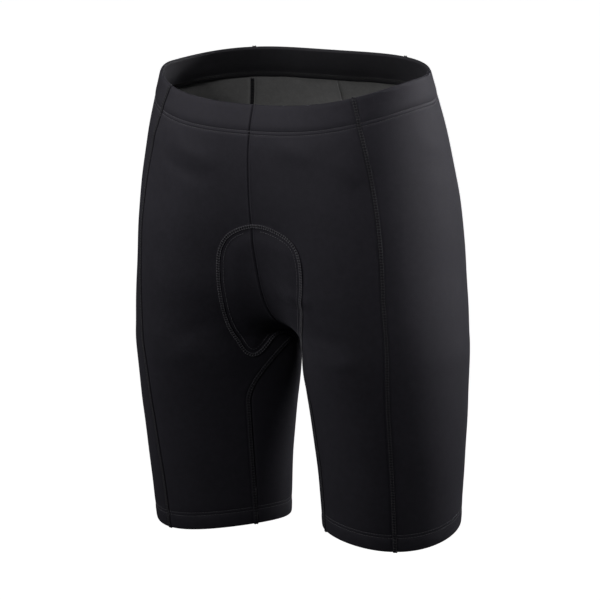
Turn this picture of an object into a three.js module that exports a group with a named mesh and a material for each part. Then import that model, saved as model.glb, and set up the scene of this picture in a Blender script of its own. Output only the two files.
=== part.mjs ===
import * as THREE from "three";

// Worn cycling shorts, in millimetres. +Z is up, the front faces -Y and the wearer's left is +X.
// Height 0 is the waist edge at the sides.

// Cloth
const CLOTH = 1.6;
const SEAM_GAP = 0.3;
const BAND_DEPTH = 28;
const HEM_DEPTH = 16;

// Edges
const WAIST_FRONT_DROP = 23;
const WAIST_BACK_RISE = 8;
const WAIST_BACK_FLATNESS = 0.9;
const CROTCH_HEIGHT = -262;
const HEM_HEIGHT = -457;
const HEM_FRONT_DROP = 11;

// Inseam: how far its turn lies in front of the innermost line, and how soon it gets there
const INSEAM_TURN = 0.22;
const INSEAM_REACH = 70;

// Panel grid
const FRONT_COLUMNS = 10;
const SIDE_COLUMNS = 9;
const BACK_COLUMNS = 13;
const UPPER_ROWS = 16;
const LOWER_ROWS = 12;
const LOWER_EASE = 1.4;
const RISE_EASE = 0.32;
const CROTCH_CROWDING = 0.9;
const CROWDING_REACH = 45;
const PINCH_REACH = 55;

// Level sections: half width, core (half depth at the middle plane, or half gap between the legs where
// it is above zero), depth factors of the front and the back, and how far the inner sides are drawn in
const SECTIONS = [
  { height: 30, width: 138, core: -78, front: 0.95, back: 0.95, pinch: 1.0 },
  { height: 0, width: 144, core: -75, front: 1.0, back: 1.0, pinch: 1.0 },
  { height: -40, width: 152.5, core: -81, front: 1.1, back: 1.12, pinch: 1.0 },
  { height: -90, width: 160.5, core: -80, front: 1.2, back: 1.26, pinch: 1.0 },
  { height: -140, width: 167, core: -73, front: 1.28, back: 1.36, pinch: 1.0 },
  { height: -185, width: 171, core: -63, front: 1.33, back: 1.38, pinch: 0.95 },
  { height: -215, width: 173.5, core: -54.5, front: 1.35, back: 1.36, pinch: 0.85 },
  { height: -240, width: 175.5, core: -39, front: 1.37, back: 1.35, pinch: 0.78 },
  { height: CROTCH_HEIGHT, width: 176.5, core: 0, front: 1.4, back: 1.37, pinch: 0.7 },
  { height: -269, width: 177, core: 10, front: 1.39, back: 1.36, pinch: 0.68 },
  { height: -290, width: 177, core: 11.5, front: 1.35, back: 1.32, pinch: 0.65 },
  { height: -340, width: 176, core: 18.5, front: 1.235, back: 1.21, pinch: 0.65 },
  { height: -400, width: 173, core: 26, front: 1.1, back: 1.1, pinch: 0.68 },
  { height: -470, width: 167.5, core: 30, front: 0.99, back: 1.0, pinch: 0.7 },
];

// Turns of the two seams that run down each side, from the outermost line to the front and the back
const SIDE_SEAMS = [
  { height: 0, front: 1.66, back: 1.93 },
  { height: -60, front: 1.46, back: 1.8 },
  { height: -150, front: 1.37, back: 1.65 },
  { height: -250, front: 1.45, back: 1.6 },
  { height: -350, front: 1.54, back: 1.6 },
  { height: -470, front: 1.54, back: 1.6 },
];

// Seat pad: half width at each angle about a crosswise line inside the seat, from the front down
const PAD_CENTRE_HEIGHT = -170;
const PAD_THICKNESS = 6;
const PAD_EDGE = 1.5;
const PAD_GAP = 1.4;
const PAD_ROWS = 36;
const PAD_COLUMNS = 14;
const PAD_OUTLINE = [
  { angle: -17, halfWidth: 5 },
  { angle: -14, halfWidth: 19 },
  { angle: -9, halfWidth: 33 },
  { angle: -1, halfWidth: 44 },
  { angle: 10, halfWidth: 49 },
  { angle: 28, halfWidth: 49 },
  { angle: 46, halfWidth: 46 },
  { angle: 58, halfWidth: 40 },
  { angle: 68, halfWidth: 26 },
  { angle: 79, halfWidth: 13 },
  { angle: 92, halfWidth: 10 },
  { angle: 104, halfWidth: 21 },
  { angle: 116, halfWidth: 44 },
  { angle: 129, halfWidth: 60 },
  { angle: 142, halfWidth: 64 },
  { angle: 155, halfWidth: 54 },
  { angle: 165, halfWidth: 34 },
  { angle: 170, halfWidth: 10 },
];

const mix = (a, b, share) => a + (b - a) * share;
const clamp = (value, low, high) => Math.min(Math.max(value, low), high);
const smooth = (share) => {
  const s = clamp(share, 0, 1);
  return s * s * (3 - 2 * s);
};

// Natural cubic curve through one column of a table
function curve(table, key, read) {
  const rows = table.map((row) => [row[key], read(row)]).sort((p, q) => p[0] - q[0]);
  const last = rows.length - 1;
  const upper = new Array(rows.length).fill(0);
  const bend = new Array(rows.length).fill(0);
  for (let i = 1; i < last; i += 1) {
    const before = rows[i][0] - rows[i - 1][0];
    const after = rows[i + 1][0] - rows[i][0];
    const rise = (rows[i + 1][1] - rows[i][1]) / after - (rows[i][1] - rows[i - 1][1]) / before;
    const pivot = 2 * (before + after) - before * upper[i - 1];
    upper[i] = after / pivot;
    bend[i] = (6 * rise - before * bend[i - 1]) / pivot;
  }
  for (let i = last - 1; i > 0; i -= 1) {
    bend[i] -= upper[i] * bend[i + 1];
  }
  return (at) => {
    let i = 0;
    while (i < last - 1 && at > rows[i + 1][0]) {
      i += 1;
    }
    const span = rows[i + 1][0] - rows[i][0];
    const a = (rows[i + 1][0] - at) / span;
    const b = 1 - a;
    const sag = ((a * a * a - a) * bend[i] + (b * b * b - b) * bend[i + 1]) * span * span / 6;
    return a * rows[i][1] + b * rows[i + 1][1] + sag;
  };
}

const widthAt = curve(SECTIONS, "height", (row) => row.width);
const coreAt = curve(SECTIONS, "height", (row) => row.core * Math.abs(row.core));
const frontAt = curve(SECTIONS, "height", (row) => row.front);
const backAt = curve(SECTIONS, "height", (row) => row.back);
const pinchAt = curve(SECTIONS, "height", (row) => row.pinch);
const frontSeamAt = curve(SIDE_SEAMS, "height", (row) => row.front);
const backSeamAt = curve(SIDE_SEAMS, "height", (row) => row.back);
const padWidthAt = curve(PAD_OUTLINE, "angle", (row) => row.halfWidth);

// Drawing in of the inner side of a leg
function pinched(x, pinch) {
  return x * (pinch + (1 - pinch) * x * x / (x * x + PINCH_REACH * PINCH_REACH));
}

// Point of the left half of the form: turn 0 is outermost, minus is the front, plus is the back
function formPoint(turn, z) {
  const width = widthAt(z);
  const core = coreAt(z);
  const middle = (width * width + core) / 2;
  const swing = (width * width - core) / 2;
  const real = middle + swing * Math.cos(turn);
  const imaginary = swing * Math.sin(turn);
  const size = Math.sqrt(Math.hypot(real, imaginary));
  const phase = Math.atan2(imaginary, real) / 2;
  const x = pinched(size * Math.cos(phase), pinchAt(z)) * width / pinched(width, pinchAt(z));
  const y = size * Math.sin(phase);
  return new THREE.Vector3(x, y * (y < 0 ? frontAt(z) : backAt(z)), z);
}

// Below zero inside the form, above zero outside it
function formField(x, y, z) {
  const width = widthAt(z);
  const core = coreAt(z);
  const middle = (width * width + core) / 2;
  const swing = (width * width - core) / 2;
  const pinch = pinchAt(z);
  const goal = Math.abs(x) * pinched(width, pinch) / width;
  let wide = goal;
  for (let step = 0; step < 12; step += 1) {
    const slope = (pinched(wide + 0.01, pinch) - pinched(wide, pinch)) / 0.01;
    wide -= (pinched(wide, pinch) - goal) / slope;
  }
  const deep = y / (y < 0 ? frontAt(z) : backAt(z));
  return Math.hypot(wide * wide - deep * deep - middle, 2 * wide * deep) - swing;
}

// Outward direction of the form at a point
function formNormal(point) {
  const { x, y, z } = point;
  const h = 0.05;
  return new THREE.Vector3(
    formField(x + h, y, z) - formField(x - h, y, z),
    formField(x, y + h, z) - formField(x, y - h, z),
    formField(x, y, z + h) - formField(x, y, z - h),
  ).normalize();
}

function waistHeight(turn) {
  const lean = Math.sin(clamp(turn, -Math.PI, Math.PI) / 2) ** 2;
  if (turn < 0) {
    return -WAIST_FRONT_DROP * lean;
  }
  return WAIST_BACK_RISE * lean * (1 + WAIST_BACK_FLATNESS * (1 - lean));
}

function hemHeight(turn) {
  return HEM_HEIGHT + HEM_FRONT_DROP * Math.sin(turn);
}

// Rows from the waist edge to the hem, each a height by turn with a level for the side seams
function panelRows() {
  const rows = [];
  for (const drop of [0, BAND_DEPTH / 2, BAND_DEPTH]) {
    rows.push({ level: -drop, height: (turn) => waistHeight(turn) - drop });
  }
  for (let i = 1; i <= UPPER_ROWS; i += 1) {
    const left = 1 - i / UPPER_ROWS;
    const eased = left * left * (1 + RISE_EASE) / (left + RISE_EASE);
    rows.push({
      level: mix(CROTCH_HEIGHT, -BAND_DEPTH, left),
      height: (turn) => {
        const share = mix(left, eased, Math.sin(turn / 2) ** 4);
        return mix(CROTCH_HEIGHT, waistHeight(turn) - BAND_DEPTH, share);
      },
    });
  }
  for (let i = 1; i <= LOWER_ROWS; i += 1) {
    const share = (i / LOWER_ROWS) ** LOWER_EASE;
    rows.push({
      level: mix(CROTCH_HEIGHT, HEM_HEIGHT + HEM_DEPTH, share),
      height: (turn) => mix(CROTCH_HEIGHT, hemHeight(turn) + HEM_DEPTH, share),
    });
  }
  rows.push({ level: HEM_HEIGHT, height: (turn) => hemHeight(turn) });
  return rows;
}

// Turn at which a half ends in front: the middle plane, then the inseam
function frontEnd(row) {
  const below = CROTCH_HEIGHT - row.height(-Math.PI);
  return -Math.PI + INSEAM_TURN * smooth(below / INSEAM_REACH);
}

// Turns along one row of a panel, evenly spaced along the cloth and closer near the middle plane
function evenTurns(row, from, to, columns) {
  const fine = 240;
  const turns = [];
  const lengths = [0];
  for (let i = 0; i <= fine; i += 1) {
    const share = i / fine;
    turns.push(mix(from, to, (1 - Math.cos(Math.PI * share)) / 2));
  }
  let before = formPoint(turns[0], row.height(turns[0]));
  for (let i = 1; i <= fine; i += 1) {
    const point = formPoint(turns[i], row.height(turns[i]));
    const crowding = 1 + CROTCH_CROWDING * Math.exp(-((point.x / CROWDING_REACH) ** 2));
    lengths.push(lengths[i - 1] + point.distanceTo(before) * crowding);
    before = point;
  }
  const even = [];
  let k = 0;
  for (let c = 0; c <= columns; c += 1) {
    const goal = lengths[fine] * c / columns;
    while (k < fine - 1 && lengths[k + 1] < goal) {
      k += 1;
    }
    const share = (goal - lengths[k]) / (lengths[k + 1] - lengths[k]);
    even.push(mix(turns[k], turns[k + 1], clamp(share, 0, 1)));
  }
  return even;
}

// Grid of points and outward directions of the left half, by row and column
function halfGrid(rows) {
  return rows.map((row) => {
    const start = frontEnd(row);
    const seams = [start, -frontSeamAt(row.level), backSeamAt(row.level), start + 2 * Math.PI];
    const counts = [FRONT_COLUMNS, SIDE_COLUMNS, BACK_COLUMNS];
    const turns = [start];
    counts.forEach((count, n) => {
      turns.push(...evenTurns(row, seams[n], seams[n + 1], count).slice(1));
    });
    return turns.map((turn) => {
      const point = formPoint(turn, row.height(turn));
      return { point, normal: formNormal(point) };
    });
  });
}

// Crosswise direction of a seam that runs down a column, towards higher columns
function seamAcross(grid, r, c) {
  const first = Math.max(r - 1, 0);
  const last = Math.min(r + 1, grid.length - 1);
  const run = new THREE.Vector3().subVectors(grid[last][c].point, grid[first][c].point);
  return grid[r][c].normal.clone().cross(run).normalize();
}

// Part of the half between two columns, with its edges drawn back from the seams
function panelGrid(grid, from, to) {
  const crotchRow = 2 + UPPER_ROWS;
  return grid.map((row, r) => row.slice(from, to + 1).map(({ point, normal }, n, cut) => {
    const moved = point.clone();
    const column = from + n;
    const onEnd = column === 0 || column === row.length - 1;
    if ((n === 0 || n === cut.length - 1) && !(onEnd && r < crotchRow)) {
      const lower = onEnd && r === crotchRow ? grid.slice(r) : grid;
      const across = seamAcross(lower, onEnd && r === crotchRow ? 0 : r, column);
      moved.addScaledVector(across, (n === 0 ? 1 : -1) * SEAM_GAP / 2);
    }
    moved.x += SEAM_GAP / 2;
    return { point: moved, normal };
  }));
}

// Closed wall over a grid, from one depth under its points to another, left open or joined into a ring
function wall(grid, outer, inner, ring) {
  const rows = grid.length;
  const columns = grid[0].length;
  const positions = [];
  for (const depth of [outer, inner]) {
    for (let r = 0; r < rows; r += 1) {
      for (let c = 0; c < columns; c += 1) {
        const cell = grid[r][c];
        const depthHere = typeof depth === "function" ? depth(r, c) : depth;
        positions.push(...cell.point.clone().addScaledVector(cell.normal, -depthHere).toArray());
      }
    }
  }
  const at = (r, c, layer) => layer * rows * columns + r * columns + (c % columns);
  const place = (r, c) => grid[r][c % columns].point;
  const faces = [];
  const quad = (a, b, c, d) => faces.push(a, b, c, a, c, d);
  const spans = ring ? columns : columns - 1;
  for (let r = 0; r < rows - 1; r += 1) {
    for (let c = 0; c < spans; c += 1) {
      const falling = place(r, c).distanceTo(place(r + 1, c + 1));
      const rising = place(r + 1, c).distanceTo(place(r, c + 1));
      for (const layer of [0, 1]) {
        const corners = [at(r, c, layer), at(r + 1, c, layer), at(r + 1, c + 1, layer), at(r, c + 1, layer)];
        const turned = falling <= rising ? corners : [...corners.slice(1), corners[0]];
        quad(...(layer === 0 ? turned : [turned[0], turned[3], turned[2], turned[1]]));
      }
    }
  }
  for (let c = 0; c < spans; c += 1) {
    quad(at(0, c, 0), at(0, c + 1, 0), at(0, c + 1, 1), at(0, c, 1));
    quad(at(rows - 1, c, 0), at(rows - 1, c, 1), at(rows - 1, c + 1, 1), at(rows - 1, c + 1, 0));
  }
  if (!ring) {
    const end = columns - 1;
    for (let r = 0; r < rows - 1; r += 1) {
      quad(at(r, 0, 0), at(r, 0, 1), at(r + 1, 0, 1), at(r + 1, 0, 0));
      quad(at(r, end, 0), at(r + 1, end, 0), at(r + 1, end, 1), at(r, end, 1));
    }
  }
  const geometry = new THREE.BufferGeometry();
  geometry.setAttribute("position", new THREE.Float32BufferAttribute(positions, 3));
  geometry.setIndex(faces);
  return geometry;
}

function mirrored(grid) {
  return grid.map((row) => row.map(({ point, normal }) => ({
    point: new THREE.Vector3(-point.x, point.y, point.z),
    normal: new THREE.Vector3(-normal.x, normal.y, normal.z),
  })).reverse());
}

// Rows of both halves joined into one ring about the waist
function waistRing(grid) {
  const left = grid.slice(0, 3);
  const right = mirrored(left);
  return left.map((row, r) => [...row.slice(0, -1), ...right[r].slice(0, -1)]);
}

// Rows of a leg end joined into a ring
function hemRing(grid) {
  return grid.slice(-2).map((row) => row.slice(0, -1));
}

// Point of the form at a crosswise place and an angle about the line inside the seat
function padPoint(x, angle) {
  const turn = THREE.MathUtils.degToRad(angle);
  const y = (reach) => -reach * Math.cos(turn);
  const z = (reach) => PAD_CENTRE_HEIGHT - reach * Math.sin(turn);
  let near = 20;
  let far = 140;
  for (let step = 0; step < 40; step += 1) {
    const reach = (near + far) / 2;
    if (formField(x, y(reach), z(reach)) < 0) {
      near = reach;
    } else {
      far = reach;
    }
  }
  return new THREE.Vector3(x, y(near), z(near));
}

function padGrid() {
  const first = PAD_OUTLINE[0].angle;
  const last = PAD_OUTLINE[PAD_OUTLINE.length - 1].angle;
  const grid = [];
  for (let r = 0; r <= PAD_ROWS; r += 1) {
    const angle = mix(first, last, (1 - Math.cos(Math.PI * r / PAD_ROWS)) / 2 * 0.35 + r / PAD_ROWS * 0.65);
    const row = [];
    for (let c = 0; c <= PAD_COLUMNS; c += 1) {
      const point = padPoint(padWidthAt(angle) * (2 * c / PAD_COLUMNS - 1), angle);
      row.push({ point, normal: formNormal(point) });
    }
    grid.push(row);
  }
  return grid;
}

// Pad depth, full in the middle and thin along the sewn edge
function padDepth(r, c) {
  const along = Math.min(r, PAD_ROWS - r) / 4;
  const across = Math.min(c, PAD_COLUMNS - c) / 2;
  const full = smooth(Math.min(along, 1)) * smooth(Math.min(across, 1));
  return CLOTH + PAD_GAP + mix(PAD_EDGE, PAD_THICKNESS, full);
}

function part(name, geometry, colour, roughness) {
  const material = new THREE.MeshStandardMaterial({ color: colour, roughness, metalness: 0 });
  const mesh = new THREE.Mesh(geometry, material);
  mesh.name = name;
  return mesh;
}

function cyclingShorts() {
  const shorts = new THREE.Group();
  shorts.name = "cycling_shorts";
  const grid = halfGrid(panelRows());
  const sideStart = FRONT_COLUMNS;
  const backStart = FRONT_COLUMNS + SIDE_COLUMNS;
  const backEnd = backStart + BACK_COLUMNS;
  const panels = [
    ["front", 0, sideStart],
    ["side", sideStart, backStart],
    ["back", backStart, backEnd],
  ];
  for (const [name, from, to] of panels) {
    const left = panelGrid(grid, from, to);
    shorts.add(part(`${name}_left`, wall(left, 0, CLOTH, false), "#26252b", 0.85));
    shorts.add(part(`${name}_right`, wall(mirrored(left), 0, CLOTH, false), "#26252b", 0.85));
  }
  const outer = CLOTH + SEAM_GAP;
  const inner = outer + CLOTH;
  shorts.add(part("waistband", wall(waistRing(grid), outer, inner, true), "#1d1c20", 0.9));
  shorts.add(part("hem_left", wall(hemRing(grid), outer, inner, true), "#232227", 0.88));
  shorts.add(part("hem_right", wall(mirrored(hemRing(grid)), outer, inner, true), "#232227", 0.88));
  shorts.add(part("seat_pad", wall(padGrid(), CLOTH + PAD_GAP, padDepth, false), "#2b2b30", 0.95));
  return shorts;
}

export default cyclingShorts();
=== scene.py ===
import math

import bpy
import numpy as np
from mathutils import Matrix, Vector


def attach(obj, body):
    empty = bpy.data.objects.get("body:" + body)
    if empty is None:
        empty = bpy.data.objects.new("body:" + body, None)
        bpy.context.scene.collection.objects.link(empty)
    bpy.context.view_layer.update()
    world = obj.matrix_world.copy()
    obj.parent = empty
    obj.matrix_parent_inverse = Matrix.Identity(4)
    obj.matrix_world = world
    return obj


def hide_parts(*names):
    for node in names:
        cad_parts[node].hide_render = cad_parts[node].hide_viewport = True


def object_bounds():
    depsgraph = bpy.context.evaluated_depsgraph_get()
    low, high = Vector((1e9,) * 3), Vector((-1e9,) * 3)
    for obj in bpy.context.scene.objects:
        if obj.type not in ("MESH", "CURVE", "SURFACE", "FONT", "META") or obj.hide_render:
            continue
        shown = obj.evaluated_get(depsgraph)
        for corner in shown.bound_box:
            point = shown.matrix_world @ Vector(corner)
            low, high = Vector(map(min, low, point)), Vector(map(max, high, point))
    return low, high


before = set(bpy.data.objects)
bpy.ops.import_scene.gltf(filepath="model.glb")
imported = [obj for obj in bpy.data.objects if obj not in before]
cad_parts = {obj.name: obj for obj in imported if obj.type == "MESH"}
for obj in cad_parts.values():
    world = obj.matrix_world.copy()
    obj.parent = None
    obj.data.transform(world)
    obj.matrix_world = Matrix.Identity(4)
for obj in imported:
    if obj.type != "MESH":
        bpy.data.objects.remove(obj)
CAD_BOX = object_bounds()

# Sizes are in millimetres until a mesh is made
MM = 0.001
PI = math.pi
MIRROR = np.array([-1, 1, 1])
SIDES = {"left": 1, "right": -1}

# The form that the panels follow
WAIST_FRONT_DROP = 23
WAIST_BACK_RISE = 8
WAIST_BACK_FLATNESS = 0.9
CROTCH_HEIGHT = -262
HEM_HEIGHT = -457
HEM_FRONT_DROP = 11
BAND_DEPTH = 28
HEM_DEPTH = 16
INSEAM_TURN = 0.22
INSEAM_REACH = 70
RISE_EASE = 0.32
LOWER_EASE = 1.4
PINCH_REACH = 55
PAD_CENTRE_HEIGHT = -170

SECTION_COLUMNS = ("height", "width", "core", "front", "back", "pinch")
SECTIONS = (
    (30, 138, -78, 0.95, 0.95, 1.0),
    (0, 144, -75, 1.0, 1.0, 1.0),
    (-40, 152.5, -81, 1.1, 1.12, 1.0),
    (-90, 160.5, -80, 1.2, 1.26, 1.0),
    (-140, 167, -73, 1.28, 1.36, 1.0),
    (-185, 171, -63, 1.33, 1.38, 0.95),
    (-215, 173.5, -54.5, 1.35, 1.36, 0.85),
    (-240, 175.5, -39, 1.37, 1.35, 0.78),
    (-262, 176.5, 0, 1.4, 1.37, 0.7),
    (-269, 177, 10, 1.39, 1.36, 0.68),
    (-290, 177, 11.5, 1.35, 1.32, 0.65),
    (-340, 176, 18.5, 1.235, 1.21, 0.65),
    (-400, 173, 26, 1.1, 1.1, 0.68),
    (-470, 167.5, 30, 0.99, 1.0, 0.7),
)
SIDE_SEAM_COLUMNS = ("height", "front", "back")
SIDE_SEAMS = (
    (0, 1.66, 1.93),
    (-60, 1.46, 1.8),
    (-150, 1.37, 1.65),
    (-250, 1.45, 1.6),
    (-350, 1.54, 1.6),
    (-470, 1.54, 1.6),
)
PAD_COLUMNS = ("angle", "half_width")
PAD_OUTLINE = (
    (-17, 5), (-14, 19), (-9, 33), (-1, 44), (10, 49), (28, 49), (46, 46), (58, 40), (68, 26),
    (79, 13), (92, 10), (104, 21), (116, 44), (129, 60), (142, 64), (155, 54), (165, 34), (170, 10),
)
# Where the pad is stitched through the panels: half widths of its own, and how far the middle
# between them lies to the wearer's left of the centre seam
STITCH_COLUMNS = ("angle", "half_width", "middle")
STITCH_OUTLINE = (
    (-16.6, 0, 6.8),
    (-14.4, 20.2, 7.3),
    (-11, 32.6, 8.5),
    (-4, 43.6, 9.3),
    (4, 47.6, 8.6),
    (13, 48.6, 7.4),
    (26, 47.6, 5.3),
    (39, 45.5, 2.4),
    (50, 42.6, -0.9),
    (58, 39, -2.5),
    (64.5, 33.5, -2.2),
    (69, 26.5, -1.5),
    (73, 17.5, -0.6),
    (77, 11.5, 0),
    (83, 8, 0),
    (92, 7, 0),
    (104, 18, 0),
    (116, 43, 0),
    (129, 59, 0),
    (142, 63, 0),
    (155, 52, 0),
    (165, 31, 0),
    (171, 0, 0),
)

# Cloth, its folds and its rows of stitches
SHELL = 1.3
LINING_SHELL = 1.15
FOLD_RADIUS = 1.75
LINING_DEPTH = 2 * FOLD_RADIUS
LINING_SAG, LINING_WAVES = 0.12, 23
PRESSED = 0.75
ROLL = np.radians([16, 34, 52, 70, 88])
LINING_ROLL = np.radians([80, 98, 116, 134, 152, 168])
SEAM_ROLL = np.radians([20, 45, 70])
NEEDLE_ROWS = (25.0, 28.4)
HEM_NEEDLE_ROWS = (14.0, 17.2)
NEEDLE_PITCH, NEEDLE_RADIUS, NEEDLE_LIFT, LOOPER_RADIUS = 2.9, 0.23, 0.16, 0.2
STITCH_SIDES = 6
FLATLOCK_HALF = 2.2
SECOND_ROW, SECOND_ROW_PITCH, SECOND_ROW_GAP = 5.4, 3.0, 5
# How far out a flatlock's needle rows and slanting ticks reach, as shares of its half width, and
# the length of a stitch and the slant of a tick, as shares of the pitch
NEEDLE_REACH, TICK_REACH, DASH, SLANT = 0.62, 0.72, 0.42, 0.3
# Steps, as row_height counts them, where seams start and end outside and inside
SEAM_TOP, SEAM_END, INNER_SEAM_END = 0.04, 4 - 0.7 / HEM_DEPTH, 2.98
SEAMS = (
    ("front_side_seam", "front_side", SEAM_TOP, 1.02),
    ("back_side_seam", "back_side", SEAM_TOP, 1.02),
    ("inseam", "front_end", 2.06, 2.06),
)
# Grooves beside a flatlock seam and the lift of the cloth over the pad
GROOVE_AWAY = FLATLOCK_HALF + 0.6
GROOVE_REACH = 0.7
PAD_LIFT = 1.5
# Millimetres of cloth to one unit of the cloth's coordinates
CLOTH_UV = 500

# The pad's foam: its grid, how far it lies inside the cloth's face, how thick it is at its edge,
# how far it swells and over what run
FOAM_ROWS, FOAM_COLUMNS = 110, 46
FOAM_SPREAD = PI / 2 * 0.92
FOAM_INSET, FOAM_EDGE, FOAM_SWELL, FOAM_SHOULDER = 2.6, 1.7, 4.6, 9

# Cloth stretched across the hollow where a thigh meets the seat
BRIDGE_HEIGHT, BRIDGE_RISE, BRIDGE_FALL = -263, 22, 42
BRIDGE_X, BRIDGE_INWARD, BRIDGE_OUTWARD = 56, 30, 46
BRIDGE_BLEND = 18
BRIDGE_LIFT_FRONT, BRIDGE_LIFT_BACK = 6.6, 5.4

# Wear sets in this far from the waist and the hems, and over this run
WAIST_CALM = (26, 14)
HEM_CALM = (14, 12)
WELL_AWAY = np.array(120.0)
LONG_SLACK, SHORT_SLACK = 0.4, 0.18

# Soft creases: half, turn and height of both ends, lift outwards and reach to each side
CREASE_COLUMNS = ("half", "turn_a", "height_a", "turn_b", "height_b", "lift", "reach")
CREASES = (
    ("right", -1.98, -60, -2.85, -82, 0.8, 9),
    ("right", -1.85, -76, -2.7, -99, -0.7, 8),
    ("right", -1.15, -50, -1.75, -66, 0.6, 8),
    ("right", -2.9, -236, -2.1, -262, -0.5, 9),
    ("right", -2.6, -268, -1.9, -290, 0.35, 10),
    ("left", -1.85, -62, -1.6, -96, 0.8, 13),
    ("left", -2.9, -56, -2.2, -70, 0.5, 9),
    ("left", -3.02, -214, -2.66, -227, -1.0, 5),
    ("left", -2.98, -205, -2.5, -216, 0.9, 6.5),
    ("left", -2.85, -240, -2.1, -254, -0.8, 9),
    ("left", -2.5, -276, -1.9, -268, 0.5, 8),
    ("left", -0.55, -54, 0.25, -72, 0.5, 9),
    ("left", 2.45, -258, 1.5, -279, -1.3, 11),
    ("left", 2.8, -283, 2.0, -301, -0.8, 9),
    ("left", 2.95, -62, 2.3, -84, 0.7, 10),
    ("left", 2.6, -330, 1.7, -322, 0.5, 12),
    ("right", 2.5, -254, 1.55, -284, -1.1, 12),
    ("right", 2.75, -290, 2.15, -300, -0.7, 8),
    ("right", 2.9, -74, 2.1, -62, 0.6, 9),
    ("right", 0.2, -60, 0.95, -49, 0.5, 8),
    ("right", 2.3, -352, 1.6, -338, 0.5, 11),
)
CREASE_GAIN = 1.4
CREASE_STEPS = 48
CREASE_BOW = 3

# Flat width and length in metres
BAND_CUT = (0.74, 0.032)
HEM_CUT = (0.41, 0.02)


def smooth(share):
    """Eased step from 0 to 1."""
    s = np.clip(share, 0, 1)
    return s * s * (3 - 2 * s)


def bump(distance, reach):
    """Soft bell of height 1."""
    return np.exp(-((distance / reach) ** 2))


def column(table, names, name):
    """One named column of a table."""
    return np.array([row[names.index(name)] for row in table], float)


def curve(places, values):
    """Natural cubic curve through values at places."""
    order = np.argsort(places)
    xs, ys = places[order], values[order]
    count = len(xs)
    left, right = np.zeros((count, count)), np.zeros(count)
    left[0, 0] = left[-1, -1] = 1
    for i in range(1, count - 1):
        before, after = xs[i] - xs[i - 1], xs[i + 1] - xs[i]
        left[i, i - 1:i + 2] = before, 2 * (before + after), after
        right[i] = 6 * ((ys[i + 1] - ys[i]) / after - (ys[i] - ys[i - 1]) / before)
    bend = np.linalg.solve(left, right)

    def at(x):
        x = np.asarray(x, float)
        i = np.clip(np.searchsorted(xs, x) - 1, 0, count - 2)
        span = xs[i + 1] - xs[i]
        a = (xs[i + 1] - x) / span
        b = 1 - a
        sag = ((a ** 3 - a) * bend[i] + (b ** 3 - b) * bend[i + 1]) * span ** 2 / 6
        return a * ys[i] + b * ys[i + 1] + sag

    return at


def table_curve(table, names, name):
    return curve(column(table, names, names[0]), column(table, names, name))


width_at = table_curve(SECTIONS, SECTION_COLUMNS, "width")
front_at = table_curve(SECTIONS, SECTION_COLUMNS, "front")
back_at = table_curve(SECTIONS, SECTION_COLUMNS, "back")
pinch_at = table_curve(SECTIONS, SECTION_COLUMNS, "pinch")
CORES = column(SECTIONS, SECTION_COLUMNS, "core")
core_at = curve(column(SECTIONS, SECTION_COLUMNS, "height"), CORES * abs(CORES))
front_seam_at = table_curve(SIDE_SEAMS, SIDE_SEAM_COLUMNS, "front")
back_seam_at = table_curve(SIDE_SEAMS, SIDE_SEAM_COLUMNS, "back")
pad_width_at = table_curve(PAD_OUTLINE, PAD_COLUMNS, "half_width")
STITCH_ANGLES = column(STITCH_OUTLINE, STITCH_COLUMNS, "angle")
stitch_square_at = curve(STITCH_ANGLES, column(STITCH_OUTLINE, STITCH_COLUMNS, "half_width") ** 2)
stitch_middle_at = curve(STITCH_ANGLES, column(STITCH_OUTLINE, STITCH_COLUMNS, "middle"))


def mirrored(point, half):
    """Points or directions of the left half, turned over for the right one."""
    return point * MIRROR if half == "right" else point


def pinched(x, pinch):
    """Crosswise place drawn in near the middle, where the thighs meet."""
    return x * (pinch + (1 - pinch) * x * x / (x * x + PINCH_REACH ** 2))


def form_point(turn, z):
    """Point of the left half: turn 0 is outermost, minus is the front, plus is the back."""
    turn, z = np.broadcast_arrays(np.asarray(turn, float), np.asarray(z, float))
    width, core, pinch = width_at(z), core_at(z), pinch_at(z)
    middle, swing = (width ** 2 + core) / 2, (width ** 2 - core) / 2
    real, imaginary = middle + swing * np.cos(turn), swing * np.sin(turn)
    size, phase = np.sqrt(np.hypot(real, imaginary)), np.arctan2(imaginary, real) / 2
    x = pinched(size * np.cos(phase), pinch) * width / pinched(width, pinch)
    y = size * np.sin(phase)
    return np.stack([x, y * np.where(y < 0, front_at(z), back_at(z)), z], -1)


def form_field(point):
    """Below zero inside the form, above zero outside it."""
    x, y, z = point[..., 0], point[..., 1], point[..., 2]
    width, core, pinch = width_at(z), core_at(z), pinch_at(z)
    middle, swing = (width ** 2 + core) / 2, (width ** 2 - core) / 2
    goal = abs(x) * pinched(width, pinch) / width
    wide = goal
    for _ in range(12):
        slope = (pinched(wide + 0.01, pinch) - pinched(wide, pinch)) / 0.01
        wide = wide - (pinched(wide, pinch) - goal) / slope
    deep = y / np.where(y < 0, front_at(z), back_at(z))
    return np.hypot(wide ** 2 - deep ** 2 - middle, 2 * wide * deep) - swing


def unit(vectors):
    return vectors / np.maximum(np.linalg.norm(vectors, axis=-1, keepdims=True), 1e-9)


def form_normal(point):
    steps = 0.05 * np.eye(3)
    return unit(np.stack([form_field(point + s) - form_field(point - s) for s in steps], -1))


def waist_height(turn):
    lean = np.sin(np.clip(turn, -PI, PI) / 2) ** 2
    back = WAIST_BACK_RISE * lean * (1 + WAIST_BACK_FLATNESS * (1 - lean))
    return np.where(turn < 0, -WAIST_FRONT_DROP * lean, back)


def hem_height(turn):
    return HEM_HEIGHT + HEM_FRONT_DROP * np.sin(turn)


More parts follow.
